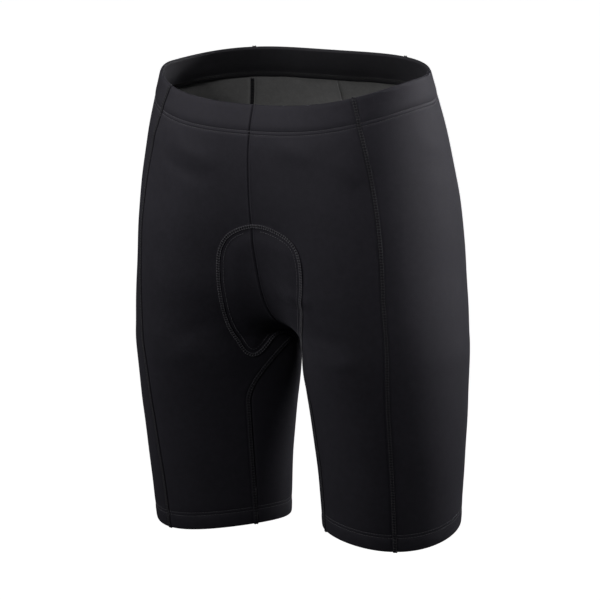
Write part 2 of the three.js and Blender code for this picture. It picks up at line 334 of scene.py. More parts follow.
def row_height(step, turn):
    """Height of a row: steps 0 to 1 cross the band, 1 to 2 reach the crotch, 2 to 3 reach the
    hem and 3 to 4 cross it."""
    waist, hem = waist_height(turn), hem_height(turn)
    left = np.clip(2 - step, 0, 1)
    eased = left ** 2 * (1 + RISE_EASE) / (left + RISE_EASE)
    share = left + (eased - left) * np.sin(turn / 2) ** 4
    upper = CROTCH_HEIGHT + (waist - BAND_DEPTH - CROTCH_HEIGHT) * share
    fall = np.clip(step - 2, 0, 1) ** LOWER_EASE
    lower = CROTCH_HEIGHT + (hem + HEM_DEPTH - CROTCH_HEIGHT) * fall
    z = np.where(step <= 2, upper, lower)
    z = np.where(step < 1, waist - BAND_DEPTH * step, z)
    return np.where(step > 3, hem + HEM_DEPTH * (4 - step), z)


def row_level(step):
    """Height that a row has at the outermost line."""
    level = -BAND_DEPTH * step
    level = np.where(step > 1, CROTCH_HEIGHT + (-BAND_DEPTH - CROTCH_HEIGHT) * (2 - step), level)
    fall = np.clip(step - 2, 0, 1) ** LOWER_EASE
    lower = CROTCH_HEIGHT + (HEM_HEIGHT + HEM_DEPTH - CROTCH_HEIGHT) * fall
    level = np.where(step > 2, lower, level)
    return np.where(step > 3, HEM_HEIGHT, level)


def front_end(step):
    """Turn of the front panel's inner edge: the centre front, then the inseam."""
    below = CROTCH_HEIGHT - row_height(step, np.full_like(step, -PI))
    return -PI + INSEAM_TURN * smooth(below / INSEAM_REACH)


def seam_turn(seam, step):
    if seam == "front_end":
        return front_end(step)
    if seam == "front_side":
        return -front_seam_at(row_level(step))
    if seam == "back_side":
        return back_seam_at(row_level(step))
    return front_end(step) + 2 * PI


# Rough runs of cloth from the band to the crotch and from there to the hem
UPPER_RUN, LOWER_RUN = 240, 250


def row_steps():
    """Rows of a panel, closer together at the needle rows."""
    band = np.array([1.2, 2.5, 4.5, 8, 12, 16, 19, 21.5, 23, 23.8, 24.4, 25, 25.6, 26.2, 26.8, 27.4])
    below = np.array([0, 0.7, 1.4, 2.1, 2.9, 4, 5.5, 7.5]) / UPPER_RUN
    above = np.array([7, 5, 3.6, 2.6, 1.9, 1.2, 0.6, 0]) / LOWER_RUN
    hem = np.array([0.7, 1.3, 2, 2.7, 3.6, 5, 7.5, 10.5, 13, 14.8]) / HEM_DEPTH
    upper = np.linspace(1 + 10 / UPPER_RUN, 2, 82)
    lower = np.linspace(2, 3 - 9.5 / LOWER_RUN, 74)[1:]
    return np.concatenate([[SEAM_TOP], band / BAND_DEPTH, 1 + below, upper, lower, 3 - above, 3 + hem])


# Distances of a panel's columns from its edges, then its two edges and how many columns lie between
EDGE_STEPS = np.array([0, 0.5, 1.0, 1.6, 2.3, 3.0, 3.7, 4.6, 6.2, 8.4])
PANELS = {
    "front": ("front_end", "front_side", 46),
    "side": ("front_side", "back_side", 34),
    "back": ("back_side", "back_end", 56),
}


def panel_grid(name):
    """Points of one panel of the left half, with distances to its two edges along the cloth."""
    first, last, count = PANELS[name]
    steps = row_steps()
    start, end = seam_turn(first, steps), seam_turn(last, steps)
    share = (1 - np.cos(PI * np.linspace(0, 1, 500))) / 2
    fine = start[:, None] + (end - start)[:, None] * share
    path = form_point(fine, row_height(steps[:, None], fine))
    runs = np.linalg.norm(np.diff(path, axis=1), axis=-1)
    lengths = np.concatenate([np.zeros((len(steps), 1)), np.cumsum(runs, 1)], 1)
    turns, away = [], []
    for row, total in enumerate(lengths[:, -1]):
        between = np.linspace(EDGE_STEPS[-1], total - EDGE_STEPS[-1], count)[1:-1]
        goals = np.concatenate([EDGE_STEPS, between, total - EDGE_STEPS[::-1]])
        turns.append(np.interp(goals, lengths[row], fine[row]))
        away.append(goals)
    turns, away = np.array(turns), np.array(away)
    point = form_point(turns, row_height(steps[:, None], turns))
    return {
        "name": name, "steps": steps, "point": point, "normal": form_normal(point),
        "from_first": away, "from_last": away[:, -1:] - away,
        "from_waist": waist_height(turns) - point[..., 2],
        "from_hem": point[..., 2] - hem_height(turns),
    }


def band_relief(down):
    """Casing over the elastic, pressed in along its two needle rows."""
    full = 0.55 * smooth(down / 3) * (1 - smooth((down - 20) / 4.5))
    return full - sum(0.4 * bump(down - row, 0.75) for row in NEEDLE_ROWS)


def hem_relief(up):
    """Turned hem, pressed in along its two needle rows."""
    full = 0.4 * smooth(up / 2) * (1 - smooth((up - 9) / 4.5))
    return full - sum(0.3 * bump(up - row, 0.75) for row in HEM_NEEDLE_ROWS)


def plain_seam(away):
    """A line sunk between two low swells of seam allowance."""
    return 0.28 * bump(away - 1.9, 0.9) - 0.95 * bump(away, 0.75)


def flat_seam(away):
    return -0.5 * bump(away - GROOVE_AWAY, GROOVE_REACH)


def pad_point(x, angle):
    """Point of the form at a crosswise place and an angle about the line inside the seat."""
    turn = np.radians(angle)
    near, far = np.full_like(x, 20.0), np.full_like(x, 140.0)
    for _ in range(40):
        reach = (near + far) / 2
        trial = np.stack([x, -reach * np.cos(turn), PAD_CENTRE_HEIGHT - reach * np.sin(turn)], -1)
        inside = form_field(trial) < 0
        near, far = np.where(inside, reach, near), np.where(inside, far, reach)
    return np.stack([x, -near * np.cos(turn), PAD_CENTRE_HEIGHT - near * np.sin(turn)], -1)


def stitch_width(angle):
    """Half width of the stitched outline. Its square is smooth, so that the ends are round."""
    return np.sqrt(np.maximum(stitch_square_at(angle), 0))


def pad_outline():
    """Stitched outline of the pad, from its front tip down the wearer's left and up the right."""
    share = (1 - np.cos(PI * np.linspace(0, 1, 420))) / 2
    angle = STITCH_ANGLES[0] + (STITCH_ANGLES[-1] - STITCH_ANGLES[0]) * share
    width, middle = stitch_width(angle), stitch_middle_at(angle)
    width[[0, -1]] = 0
    left, right = pad_point(middle + width, angle), pad_point(middle - width, angle)
    return np.concatenate([left, right[::-1][1:]])


def run_lengths(path):
    """Length along a path up to each of its points."""
    return np.concatenate([[0], np.cumsum(np.linalg.norm(np.diff(path, axis=0), axis=1))])


def resample(path, pitch):
    """Points about a pitch apart along a path."""
    lengths = run_lengths(path)
    goals = np.linspace(0, lengths[-1], max(int(round(lengths[-1] / pitch)), 2) + 1)
    return np.stack([np.interp(goals, lengths, path[:, k]) for k in range(3)], -1)


def pad_distance(point, half):
    """Distance to the stitched outline, above zero inside it."""
    flat = mirrored(point.reshape(-1, 3), half)
    near = np.full(len(flat), 1e9)
    for sample in resample(pad_outline(), 1.5):
        near = np.minimum(near, ((flat - sample) ** 2).sum(1))
    angle = np.degrees(np.arctan2(PAD_CENTRE_HEIGHT - flat[:, 2], -flat[:, 1]))
    angle = np.where(angle < -90, angle + 360, angle)
    span = (angle > STITCH_ANGLES[0]) & (angle < STITCH_ANGLES[-1])
    angle = np.clip(angle, STITCH_ANGLES[0], STITCH_ANGLES[-1])
    inside = span & (abs(flat[:, 0] - stitch_middle_at(angle)) < stitch_width(angle))
    return (np.sqrt(near) * np.where(inside, 1, -1)).reshape(point.shape[:-1])


def pad_relief(distance):
    """Cloth over the pad: a groove each side of the flatlock, a second row inside it, the foam."""
    grooves = 0.4 * bump(abs(distance) - GROOVE_AWAY, GROOVE_REACH)
    grooves = grooves + 0.3 * bump(distance - SECOND_ROW, 0.9)
    return PAD_LIFT * smooth((distance - 3) / 16) - grooves


def crease_relief(point, half):
    """Creases placed one by one, each fading towards both ends."""
    lift = np.zeros(point.shape[:-1])
    flat = point.reshape(-1, 3)
    share = np.linspace(0, 1, CREASE_STEPS)
    for row in CREASES:
        crease = dict(zip(CREASE_COLUMNS, row))
        if crease["half"] != half:
            continue
        turns = crease["turn_a"] + (crease["turn_b"] - crease["turn_a"]) * share
        heights = crease["height_a"] + (crease["height_b"] - crease["height_a"]) * share
        line = form_point(turns, heights - CREASE_BOW * np.sin(PI * share))
        square = ((flat[:, None, :] - line[None]) ** 2).sum(-1)
        place = np.clip(square.argmin(1) / (CREASE_STEPS - 1), 0.001, 0.999)
        taper = np.sin(PI * place) ** 0.8
        fall = np.exp(-square.min(1) / crease["reach"] ** 2)
        lift += (CREASE_GAIN * crease["lift"] * taper * fall).reshape(lift.shape)
    return lift


def slack(point, side):
    """Slight unevenness of worn cloth: a long and a short wave, of other phases on each side."""
    x, y, z = point[..., 0] * side, point[..., 1], point[..., 2]
    long_wave = np.sin(z / 31 + x / 47 + 1.3 * side) * np.sin(y / 38 - x / 29 + 0.7)
    short_wave = np.sin(z / 13.7 - x / 19 + y / 23) * np.sin(x / 17.3 + z / 27 + side)
    return LONG_SLACK * long_wave + SHORT_SLACK * short_wave


def bridge_relief(point):
    """Cloth stretched across the hollow where a thigh meets the seat."""
    rise, outward = point[..., 2] - BRIDGE_HEIGHT, abs(point[..., 0]) - BRIDGE_X
    tall = bump(rise, np.where(rise > 0, BRIDGE_RISE, BRIDGE_FALL))
    wide = bump(outward, np.where(outward > 0, BRIDGE_OUTWARD, BRIDGE_INWARD))
    behind = smooth((point[..., 1] + BRIDGE_BLEND) / (2 * BRIDGE_BLEND))
    return tall * wide * (BRIDGE_LIFT_FRONT + (BRIDGE_LIFT_BACK - BRIDGE_LIFT_FRONT) * behind)


def worn_relief(point, half, from_waist, from_hem):
    """What wear does to the cloth: bridges, and creases and slack away from its turned edges."""
    calm = smooth((from_waist - WAIST_CALM[0]) / WAIST_CALM[1])
    calm = calm * smooth((from_hem - HEM_CALM[0]) / HEM_CALM[1])
    return bridge_relief(point) + calm * (crease_relief(point, half) + slack(point, SIDES[half]))


def panel_relief(grid, half):
    """How far a panel's face lies outside the form."""
    lift = band_relief(grid["from_waist"]) + hem_relief(grid["from_hem"])
    above = (grid["steps"] < 2)[:, None]
    for edge, away in (("first", grid["from_first"]), ("last", grid["from_last"])):
        middle = (grid["name"], edge) in (("front", "first"), ("back", "last"))
        seam = np.where(above, plain_seam(away), flat_seam(away)) if middle else flat_seam(away)
        lift = lift + seam
    if grid["name"] != "side":
        lift = lift + pad_relief(pad_distance(grid["point"], half))
    return lift + worn_relief(grid["point"], half, grid["from_waist"], grid["from_hem"])


def rolled(point, normal, up, angle, radius=FOLD_RADIUS):
    """Points and outward directions where the cloth turns over a fold."""
    a = angle[:, None, None]
    place = point[None] + up[None] * radius * np.sin(a) - normal[None] * radius * (1 - np.cos(a))
    return place, normal[None] * np.cos(a) + up[None] * np.sin(a)


def tangent_up(normal, sign):
    """Direction along the cloth that leads up, or down with a minus sign."""
    up = np.zeros_like(normal)
    up[..., 2] = sign
    return unit(up - normal * (up * normal).sum(-1, keepdims=True))


def folded_grid(point, normal, lift):
    """A panel's outer face with its top and hem turned over."""
    face = point + normal * lift[..., None]
    top, top_normal = rolled(face[0], normal[0], tangent_up(normal[0], 1), ROLL[::-1])
    end, end_normal = rolled(face[-1], normal[-1], tangent_up(normal[-1], -1), ROLL)
    return np.concatenate([top, face, end]), np.concatenate([top_normal, normal, end_normal])


def wall_faces(rows, columns, ring):
    """Faces of a closed wall: its outer side, its inner side and its edges. A ring has no ends."""
    spans = columns if ring else columns - 1
    r, c = np.meshgrid(np.arange(rows - 1), np.arange(spans), indexing="ij")
    r, c = r.ravel(), c.ravel()
    d = (c + 1) % columns
    layer = rows * columns
    this, below = r * columns, (r + 1) * columns
    outer = np.stack([this + c, below + c, below + d, this + d], 1)
    inner = outer[:, ::-1] + layer
    c = np.arange(spans)
    d = (c + 1) % columns
    base = (rows - 1) * columns
    top = np.stack([c, d, d + layer, c + layer], 1)
    end = np.stack([base + c, base + c + layer, base + d + layer, base + d], 1)
    parts = [outer, inner, top, end]
    if not ring:
        r = np.arange(rows - 1) * columns
        q = r + columns
        e = columns - 1
        parts.append(np.stack([r, r + layer, q + layer, q], 1))
        parts.append(np.stack([r + e, q + e, q + e + layer, r + e + layer], 1))
    return np.concatenate(parts)


def mesh_object(name, vertices, faces, materials, uv, numbers):
    """Mesh with the cloth's coordinates and the number of a material for each face."""
    mesh = bpy.data.meshes.new(name)
    polygons = faces if isinstance(faces, list) else faces.tolist()
    mesh.from_pydata((vertices * MM).tolist(), [], polygons)
    mesh.polygons.foreach_set("use_smooth", np.ones(len(mesh.polygons), bool))
    layer = mesh.uv_layers.new(name="cloth")
    index = np.zeros(len(mesh.loops), np.int32)
    mesh.loops.foreach_get("vertex_index", index)
    layer.data.foreach_set("uv", np.asarray(uv, np.float32)[index].ravel())
    for material in materials:
        mesh.materials.append(material)
    mesh.polygons.foreach_set("material_index", np.asarray(numbers, np.int32))
    mesh.update()
    made = bpy.data.objects.new(name, mesh)
    bpy.context.scene.collection.objects.link(made)
    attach(made, "root")
    return made


def wall_object(name, face, normal, depth, materials, uv, ring=False):
    """Closed sheet between a face and the same face moved inwards, which takes the last material."""
    depth = np.broadcast_to(np.asarray(depth, float), face.shape[:-1])
    inner = face - normal * depth[..., None]
    rows, columns = face.shape[:2]
    vertices = np.concatenate([face.reshape(-1, 3), inner.reshape(-1, 3)])
    uvs = np.concatenate([uv.reshape(-1, 2)] * 2)
    faces = wall_faces(rows, columns, ring)
    half = (rows - 1) * (columns if ring else columns - 1)
    numbers = np.zeros(len(faces), int)
    numbers[half:2 * half] = len(materials) - 1
    return mesh_object(name, vertices, faces, materials, uvs, numbers)


# ---------------------------------------------------------------- materials

def fill(node, values):
    """Set a node's inputs by their names."""
    for name, value in values.items():
        node.inputs[name].default_value = value


def new_material(name):
    material = bpy.data.materials.new(name)
    material.use_nodes = True
    nodes, links = material.node_tree.nodes, material.node_tree.links
    return material, nodes, links, nodes["Principled BSDF"]


def knit_material(name, dark, light, roughness, wale, relief, sheen):
    """Fine knit: wales down the cloth and courses across, from the cloth's own millimetres."""
    material, nodes, links, shader = new_material(name)
    fill(shader, {
        "Sheen Weight": sheen, "Sheen Roughness": 0.45, "Sheen Tint": (0.86, 0.85, 1.0, 1),
        "Specular IOR Level": 0.35, "Specular Tint": (0.91, 0.87, 1.0, 1),
    })

    def math_node(operation, *values):
        made = nodes.new("ShaderNodeMath")
        made.operation = operation
        for socket, value in zip(made.inputs, values):
            if isinstance(value, (int, float)):
                socket.default_value = value
            else:
                links.new(value, socket)
        return made.outputs[0]

    def blend(*shares):
        """Sum of values, each times its weight."""
        total = None
        for value, weight in shares:
            part = math_node("MULTIPLY", value, weight)
            total = part if total is None else math_node("ADD", total, part)
        return total

    def noise(scale, detail, rough=0.5):
        made = nodes.new("ShaderNodeTexNoise")
        fill(made, {"Scale": scale, "Detail": detail, "Roughness": rough})
        links.new(place.outputs["Object"], made.inputs["Vector"])
        return made.outputs["Fac"]

    cloth, place = nodes.new("ShaderNodeUVMap"), nodes.new("ShaderNodeTexCoord")
    cloth.uv_map = "cloth"
    split = nodes.new("ShaderNodeSeparateXYZ")
    links.new(cloth.outputs["UV"], split.inputs[0])
    course = wale * 0.8
    across = math_node("MULTIPLY", split.outputs["X"], CLOTH_UV * 2 * PI / wale)
    down = math_node("MULTIPLY", split.outputs["Y"], CLOTH_UV * 2 * PI / course)
    rib = math_node("SINE", across)
    slant = math_node("MULTIPLY", math_node("ABSOLUTE", rib), 2.2)
    loop = math_node("SINE", math_node("ADD", down, slant))
    weave = blend((rib, 0.6), (loop, 0.4))

    broad, mottle, fine, grain = noise(9, 3), noise(150, 3, 0.65), noise(520, 2, 0.6), noise(1900, 1)
    ramp = nodes.new("ShaderNodeValToRGB")
    for stop, position, colour in zip(ramp.color_ramp.elements, (0.34, 0.6), (dark, light)):
        stop.position, stop.color = position, (*colour, 1)
    links.new(blend((broad, 0.3), (fine, 0.25), (mottle, 0.35), (weave, 0.12)), ramp.inputs[0])
    links.new(ramp.outputs[0], shader.inputs["Base Color"])
    rough = math_node("ADD", math_node("MULTIPLY", fine, 0.14), roughness - 0.07)
    links.new(rough, shader.inputs["Roughness"])
    raised = nodes.new("ShaderNodeBump")
    fill(raised, {"Strength": relief, "Distance": 0.00012})
    links.new(blend((weave, 0.5), (grain, 0.5), (mottle, 1.6)), raised.inputs["Height"])
    links.new(raised.outputs[0], shader.inputs["Normal"])
    return material


def thread_material(name, dark, light, roughness):
    """Overlock thread: twisted plies along each stitch."""
    material, nodes, links, shader = new_material(name)
    fill(shader, {"Sheen Weight": 0.25, "Sheen Roughness": 0.4})
    place = nodes.new("ShaderNodeTexCoord")
    plies = nodes.new("ShaderNodeTexWave")
    plies.wave_type = "BANDS"
    plies.bands_direction = "DIAGONAL"
    fill(plies, {"Scale": 900, "Distortion": 2.5})
    spots = nodes.new("ShaderNodeTexNoise")
    fill(spots, {"Scale": 260})
    ramp = nodes.new("ShaderNodeValToRGB")
    for stop, colour in zip(ramp.color_ramp.elements, (dark, light)):
        stop.color = (*colour, 1)
    raised = nodes.new("ShaderNodeBump")
    fill(raised, {"Strength": 0.5, "Distance": 0.00008})
    spread = nodes.new("ShaderNodeMapRange")
    fill(spread, {"To Min": roughness - 0.1, "To Max": roughness + 0.1})
    links.new(place.outputs["Object"], plies.inputs["Vector"])
    links.new(place.outputs["Object"], spots.inputs["Vector"])
    links.new(spots.outputs["Fac"], ramp.inputs[0])
    links.new(ramp.outputs[0], shader.inputs["Base Color"])
    links.new(spots.outputs["Fac"], spread.inputs["Value"])
    links.new(spread.outputs[0], shader.inputs["Roughness"])
    links.new(plies.outputs["Fac"], raised.inputs["Height"])
    links.new(raised.outputs[0], shader.inputs["Normal"])
    return material


# Name, dark and light tone, roughness, width of a wale in millimetres, relief and sheen
KNITS = (
    ("knit", (0.0135, 0.0129, 0.0166), (0.0225, 0.0214, 0.0276), 0.68, 0.62, 0.55, 0.05),
    # The wrong side is far paler than the black knit: painted light, standing in for light falling into
    # the waist
    ("knit_wrong_side_painted_light", (0.15, 0.15, 0.147), (0.21, 0.21, 0.206), 0.85, 0.62, 0.5, 0.03),
    # The band is darker than the knit: painted shade inside the waist
    ("band", (0.009, 0.009, 0.0095), (0.015, 0.015, 0.016), 0.7, 0.8, 0.7, 0.08),
    ("hem", (0.0125, 0.012, 0.0145), (0.022, 0.0215, 0.025), 0.66, 0.62, 0.55, 0.12),
    ("pad", (0.02, 0.02, 0.022), (0.035, 0.035, 0.039), 0.85, 0.9, 0.8, 0.3),
    ("seam_tape", (0.009, 0.0086, 0.0108), (0.0155, 0.0148, 0.0185), 0.75, 0.5, 0.8, 0.03),
)
# Name, dark and light tone, roughness
THREADS = (
    ("thread", (0.06, 0.058, 0.068), (0.115, 0.111, 0.126), 0.6),
    ("seam_thread", (0.015, 0.0144, 0.018), (0.029, 0.0278, 0.034), 0.65),
    ("inner_thread", (0.006, 0.006, 0.0065), (0.013, 0.013, 0.014), 0.6),
)
KNIT, WRONG_SIDE_PAINTED_LIGHT, BAND_PAINTED_SHADE, HEM, PAD, TAPE = (knit_material(*row) for row in KNITS)
THREAD, SEAM_THREAD, INNER_THREAD = (thread_material(*row) for row in THREADS)


# ---------------------------------------------------------------- panels

def turned(array):
    """The same grid on the right half."""
    out = array[:, ::-1]
    return out * MIRROR if out.shape[-1] == 3 else out


def build_panels():
    """Six panels with both ends turned over."""
    made = {}
    count, roll = len(ROLL), ROLL[:, None] * FOLD_RADIUS
    for name in PANELS:
        grid = panel_grid(name)
        across, down = (
            np.pad(grid[key], ((count, count), (0, 0)), mode="edge")
            for key in ("from_first", "from_waist")
        )
        down[:count] -= roll[::-1]
        down[-count:] += roll
        for half in SIDES:
            lift = panel_relief(grid, half)
            face, normal = folded_grid(grid["point"], grid["normal"], lift)
            uv = np.stack([across, down], -1) / CLOTH_UV
            if half == "right":
                face, normal, uv = turned(face), turned(normal), turned(uv)
            # Inner faces take the wrong side's pale tone, which is painted light
            piece = wall_object(f"{name}_{half}_cloth", face, normal, SHELL, [KNIT, WRONG_SIDE_PAINTED_LIGHT], uv)
            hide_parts(f"{name}_{half}")
            made[f"{name}_{half}"] = piece
    return made


# ---------------------------------------------------------------- turned layers

def waist_ring(depth, count=240):
    """Points and outward directions all round, a depth below the waist edge."""
    turns = np.linspace(-PI, PI, count)
    left = form_point(turns, waist_height(turns) - depth)
    normal = form_normal(left)
    left[[0, -1], 0] = 0
    return [np.concatenate([ring, ring[1:-1][::-1] * MIRROR]) for ring in (left, normal)]


def hem_ring(up, half, count=300):
    """Points and outward directions round a leg, a height above its hem."""
    turns = np.linspace(-PI, PI, count, endpoint=False)
    point = form_point(turns, hem_height(turns) + up)
    normal = form_normal(point)
    if half == "right":
        return point[::-1] * MIRROR, normal[::-1] * MIRROR
    return point, normal


def lining(name, ring_at, relief, edge, up_sign, depths, stitched, material, total):
    """Inner layer of a fold: over the crest, then along the inside of the cloth."""
    point, normal = ring_at(edge)
    point = point + normal * relief(np.array(edge))
    up = tangent_up(normal, up_sign)
    crest, crest_normal = rolled(point, normal, up, LINING_ROLL, FOLD_RADIUS - 0.06)
    rows, normals = [crest], [crest_normal]
    for depth in depths:
        point, normal = ring_at(depth)
        waves = np.sin(np.linspace(0, 2 * PI, len(point), endpoint=False) * LINING_WAVES)
        below = LINING_DEPTH + 0.05 + LINING_SAG * waves[:, None] * smooth(depth / 20)
        rows.append((point - normal * (below - PRESSED * smooth((depth - stitched + 5) / 4)))[None])
        normals.append(-normal[None])
    face, normal = np.concatenate(rows), np.concatenate(normals)
    downs = np.concatenate([-FOLD_RADIUS * np.cos(LINING_ROLL), depths])
    uv = np.stack(np.meshgrid(np.linspace(0, total, face.shape[1]), downs), -1) / CLOTH_UV
    face, normal, uv = (part[::up_sign] for part in (face, normal, uv))
    return wall_object(name, face, normal, LINING_SHELL, [material], uv, ring=True)


def build_linings():
    depths = np.array([0.9, 2, 4, 8, 12, 16, 20, 23, 24.6, 26, 27.4, 28.8, 30.2])
    ups = np.array([0.9, 2, 4, 7, 10, 12.5, 14, 15.5, 17, 18.4, 19.2])
    # The band's inner layer takes the band material's painted shade
    band = lining(
        "waistband_fold", waist_ring, band_relief, 1.12, 1, depths, NEEDLE_ROWS[0], BAND_PAINTED_SHADE,
        BAND_CUT[0] / MM,
    )
    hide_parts("waistband")
    made = {"waistband": band}
    for half in SIDES:
        hem = lining(
            f"hem_{half}_fold", lambda up, h=half: hem_ring(up, h), hem_relief, 1.2, -1, ups,
            HEM_NEEDLE_ROWS[0], HEM, HEM_CUT[0] / MM,
        )
        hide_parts(f"hem_{half}")
        made[f"hem_{half}"] = hem
    return made


# ---------------------------------------------------------------- seat pad

def build_pad():
    """Foam of the pad, under the cloth: thin at its edge, with a stitched row beside it."""
    share = np.linspace(0, 1, FOAM_ROWS)
    first, last = PAD_OUTLINE[0][0], PAD_OUTLINE[-1][0]
    angle = first + (last - first) * (0.35 * (1 - np.cos(PI * share)) / 2 + 0.65 * share)
    side = np.sin(np.linspace(-1, 1, FOAM_COLUMNS) * FOAM_SPREAD) / math.sin(FOAM_SPREAD)
    width = pad_width_at(angle)[:, None]
    x = width * side
    point = pad_point(x, np.broadcast_to(angle[:, None], x.shape))
    normal = form_normal(point)
    steps = np.linalg.norm(np.diff(point, axis=0), axis=-1)
    down = np.concatenate([np.zeros((1, FOAM_COLUMNS)), np.cumsum(steps, 0)])
    edge = np.minimum((1 - abs(side)) * width, np.minimum(down, down[-1:] - down))
    crown = smooth(edge / FOAM_SHOULDER) * (1 + 0.12 * np.cos(side * PI))
    stitched = 0.7 * bump(edge - 3.2, 0.9) * (1 - smooth((edge - 5) / 3))
    depth = FOAM_EDGE + FOAM_SWELL * crown - stitched
    point = point + normal * (bridge_relief(point) - FOAM_INSET)[..., None]
    uv = np.stack([x, down], -1) / CLOTH_UV
    piece = wall_object("seat_pad_foam", point, normal, depth, [PAD], uv)
    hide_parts("seat_pad")
    return piece


# ---------------------------------------------------------------- sewing

def along(path, normal, pitch):
    """Even places along a path, with outward, crosswise and lengthwise directions."""
    both, lengths = np.concatenate([path, normal], 1), run_lengths(path)
    goals = np.arange(0.4, lengths[-1] - 0.4, pitch)
    both = np.stack([np.interp(goals, lengths, both[:, k]) for k in range(6)], -1)
    place, out = both[:, :3], unit(both[:, 3:])
    run = unit(np.gradient(place, axis=0))
    return place, out, unit(np.cross(out, run)), run


def capsules(starts, ends, ups, radius):
    """Short stitches that rise out of the cloth and dip back into it."""
    shares = np.array([0.0, 0.14, 0.86, 1.0])
    radii = np.array([0.45, 1.0, 1.0, 0.45]) * radius
    dips = np.array([-0.9, 0.0, 0.0, -0.9]) * radius
    run = unit(ends - starts)
    across = unit(np.cross(ups, run))
    raised = np.cross(run, across)
    centre = starts[:, None] + (ends - starts)[:, None] * shares[None, :, None]
    centre = centre + raised[:, None] * dips[None, :, None]
    k = np.arange(STITCH_SIDES)
    angle = 2 * PI * k / STITCH_SIDES
    ring = across[:, None, None] * np.cos(angle)[:, None]
    ring = ring + raised[:, None, None] * 0.75 * np.sin(angle)[:, None]
    vertices = centre[:, :, None] + ring * radii[:, None, None]
    here, there = k, (k + 1) % STITCH_SIDES
    starts_at = np.arange(len(shares)) * STITCH_SIDES
    tube = np.concatenate([
        np.stack([low + here, low + there, high + there, high + here], 1)
        for low, high in zip(starts_at, starts_at[1:])
    ])
    base = (np.arange(len(starts)) * len(shares) * STITCH_SIDES)[:, None]
    quads = (tube[None] + base[..., None]).reshape(-1, 4)
    caps = (k[::-1] + base).tolist() + (k + starts_at[-1] + base).tolist()
    points = vertices.reshape(-1, 3)
    return points, quads.tolist() + caps, np.zeros((len(points), 2))


def strip(path, normal, half_width, height, inside):
    """Flatlock bed along a seam: a low band with a shallow valley in the middle."""
    across = unit(np.cross(normal, unit(np.gradient(path, axis=0))))[:, None]
    out = (-normal if inside else normal)[:, None]
    places = half_width * np.array([-1, -0.92, -0.7, -0.4, -0.12, 0.12, 0.4, 0.7, 0.92, 1])[:, None]
    rise = height * np.array([0, 0.62, 0.95, 1.0, 0.72, 0.72, 1.0, 0.95, 0.62, 0])[:, None]
    top = path[:, None] + across * places + out * rise
    under = path[:, None] + across * places[::-1] * 0.96 - out * 0.35
    loop = np.concatenate([top, under], 1)
    rows, columns = loop.shape[:2]
    r, c = np.meshgrid(np.arange(rows - 1), np.arange(columns), indexing="ij")
    r, c = r.ravel() * columns, c.ravel()
    d = (c + 1) % columns
    quads = np.stack([r + c, r + d, r + columns + d, r + columns + c], 1)
    if inside:
        quads = quads[:, ::-1]
    caps = [list(range(columns)), [(rows - 1) * columns + k for k in range(columns)]]
    caps[inside].reverse()
    uv = np.stack(np.meshgrid(np.linspace(0, 10, columns), run_lengths(path)), -1) / CLOTH_UV
    return loop.reshape(-1, 3), quads.tolist() + caps, uv.reshape(-1, 2)


def sewn(name, parts, materials):
    """One piece from parts, each with its points, faces, coordinates and a material's number."""
    vertices, faces, uvs, numbers = [], [], [], []
    start = 0
    for points, polygons, uv, number in parts:
        vertices.append(points)
        faces += [[i + start for i in polygon] for polygon in polygons]
        uvs.append(uv)
        numbers += [number] * len(polygons)
        start += len(points)
    vertices, uvs = np.concatenate(vertices), np.concatenate(uvs)
    piece = mesh_object(name, vertices, faces, materials, uvs, numbers)
    return piece


def flatlock(
    name, path, normal, threads, bed=0.5, pitch=2.8, radius=0.32, half_width=FLATLOCK_HALF,
    inside=False,
):
    """Flatlock seam: its bed, two needle rows and the slanting ticks between them."""
    parts = [(*strip(path, normal, half_width, bed, inside), 0)]
    place, out, across, run = along(path, normal, pitch)
    if inside:
        out = -out
    top = place + out * (bed + 0.04)
    dash = run * pitch * DASH
    for side in (-NEEDLE_REACH, NEEDLE_REACH):
        row = top + across * side * half_width
        parts.append((*capsules(row - dash, row + dash, out, radius), 1))
    slant = across * half_width * TICK_REACH + run * pitch * SLANT
    parts.append((*capsules(top - slant, top + slant, out, radius * 0.8), 1))
    # Inside seam beds take the band material's painted shade
    return sewn(name, parts, [BAND_PAINTED_SHADE if inside else TAPE, threads])


def seam_line(seam, half, first, last):
    """A seam's points on the form, its outward directions and how far the cloth lies outside."""
    steps = np.linspace(first, last, 420)
    turns = seam_turn(seam, steps)
    point = form_point(turns, row_height(steps, turns))
    from_waist, from_hem = waist_height(turns) - point[:, 2], point[:, 2] - hem_height(turns)
    lift = band_relief(from_waist) + hem_relief(from_hem)
    lift = lift + worn_relief(point, half, from_waist, from_hem)
    return point, form_normal(point), lift[:, None]


def build_seams(half):
    """Flatlock seams of one half: outside over the folds at both ends, inside between the folds."""
    made = []
    for label, seam, first, first_inside in SEAMS:
        point, normal, lift = seam_line(seam, half, first, SEAM_END)
        face = point + normal * lift
        end, end_normal = rolled(face[-1:], normal[-1:], tangent_up(normal[-1:], -1), SEAM_ROLL)
        path, out = np.concatenate([face, end[:, 0]]), np.concatenate([normal, end_normal[:, 0]])
        if first == SEAM_TOP:
            top, top_normal = rolled(face[:1], normal[:1], tangent_up(normal[:1], 1), SEAM_ROLL[::-1])
            path, out = np.concatenate([top[:, 0], path]), np.concatenate([top_normal[:, 0], out])
        made.append(flatlock(f"{label}_{half}", mirrored(path, half), mirrored(out, half), SEAM_THREAD))
        point, normal, lift = seam_line(seam, half, first_inside, INNER_SEAM_END)
        made.append(flatlock(
            f"{label}_{half}_inside", mirrored(point + normal * (lift - SHELL), half),
            mirrored(normal, half), INNER_THREAD, bed=0.45, pitch=3.4, radius=0.24, half_width=2.0,
            inside=True,
        ))
    return made


